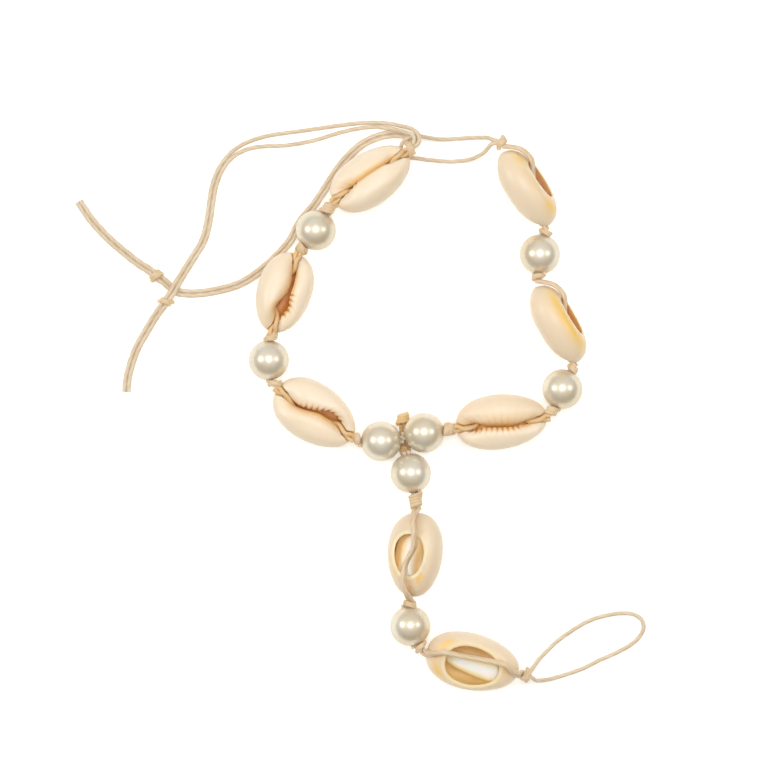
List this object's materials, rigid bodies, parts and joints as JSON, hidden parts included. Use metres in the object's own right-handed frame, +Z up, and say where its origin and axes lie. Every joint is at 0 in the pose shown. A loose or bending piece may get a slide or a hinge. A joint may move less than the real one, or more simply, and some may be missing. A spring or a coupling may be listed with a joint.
{
  "type": "cowrie shell anklet with a toe drop",
  "caption": "Barefoot anklet of cowrie shells and round pearl beads knotted on waxed cord, with a drop and loop for a toe and a tie-and-loop closure.",
  "frame": {"origin": "on the surface that the anklet lies on, under the middle of the box round the shells, beads, knots and closing loop (without the ties and the toe loop)", "axes": "+Z up from the surface, +Y from the toe drop towards the anklet's closure, +X to the right as seen from above, the side that the toe loop points to"},
  "size_m": [0.1429, 0.1425, 0.0133],
  "materials": {
    "cowrie_shell": "polished natural cowrie shell, cream, with a yellow ring on its back and an orange-brown slit",
    "pearl": "glossy ivory pearl coat over a round bead",
    "waxed_cord": "beige waxed cotton cord, slightly twisted, satin"
  },
  "bodies": {
    "root": {"shell_1": "cowrie_shell", "shell_2": "cowrie_shell", "shell_3": "cowrie_shell", "shell_4": "cowrie_shell", "shell_5": "cowrie_shell", "shell_6": "cowrie_shell", "shell_7": "cowrie_shell", "shell_8": "cowrie_shell", "bead_1": "pearl", "bead_2": "pearl", "bead_3": "pearl", "bead_4": "pearl", "bead_5": "pearl", "bead_6": "pearl", "bead_7": "pearl", "bead_8": "pearl", "strands_shell_1": "waxed_cord", "strands_shell_2": "waxed_cord", "strands_shell_3": "waxed_cord", "strands_shell_4": "waxed_cord", "strands_shell_5": "waxed_cord", "strands_shell_6": "waxed_cord", "strands_shell_7": "waxed_cord", "strands_shell_8": "waxed_cord", "strands_bead_1": "waxed_cord", "strands_bead_2": "waxed_cord", "strands_bead_3": "waxed_cord", "strands_bead_4": "waxed_cord", "strands_bead_5": "waxed_cord", "strands_bead_6": "waxed_cord", "strands_bead_7": "waxed_cord", "strands_bead_8": "waxed_cord", "knot_1": "waxed_cord", "knot_2": "waxed_cord", "knot_3": "waxed_cord", "knot_4": "waxed_cord", "knot_5": "waxed_cord", "knot_6": "waxed_cord", "knot_7": "waxed_cord", "knot_8": "waxed_cord", "knot_9": "waxed_cord", "knot_10": "waxed_cord", "knot_11": "waxed_cord", "knot_12": "waxed_cord", "knot_13": "waxed_cord", "knot_ties": "waxed_cord", "knot_closing_loop": "waxed_cord", "knot_toe_loop": "waxed_cord", "knot_middle_back": "waxed_cord", "knot_middle_front": "waxed_cord", "tie_knot_1": "waxed_cord", "tie_knot_2": "waxed_cord", "tie_1a": "waxed_cord", "tie_1b": "waxed_cord", "tie_2a": "waxed_cord", "tie_2b": "waxed_cord", "closing_loop": "waxed_cord", "toe_loop": "waxed_cord", "drop_link": "waxed_cord"}
  },
  "joints": []
}
